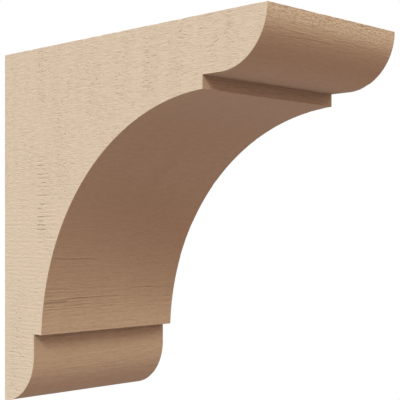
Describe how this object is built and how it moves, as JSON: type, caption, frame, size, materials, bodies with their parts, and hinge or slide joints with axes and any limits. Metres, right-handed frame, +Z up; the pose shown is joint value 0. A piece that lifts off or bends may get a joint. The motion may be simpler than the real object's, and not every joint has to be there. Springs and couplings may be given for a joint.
{
  "type": "timber corbel",
  "caption": "Rough-sawn timber corbel with quarter-round noses, square fillets and one large cove, fixed to a wall by its flat back to carry a shelf or beam on its flat top.",
  "frame": {"origin": "middle of the flat back face, which lies on the wall", "axes": "+Z up the wall, +Y into the wall so that the corbel reaches out along -Y, +X across the wall"},
  "size_m": [0.1524, 0.3048, 0.3048],
  "materials": {
    "rough_sawn_timber": "matte"
  },
  "bodies": {
    "root": {"corbel": "rough_sawn_timber"}
  },
  "joints": []
}
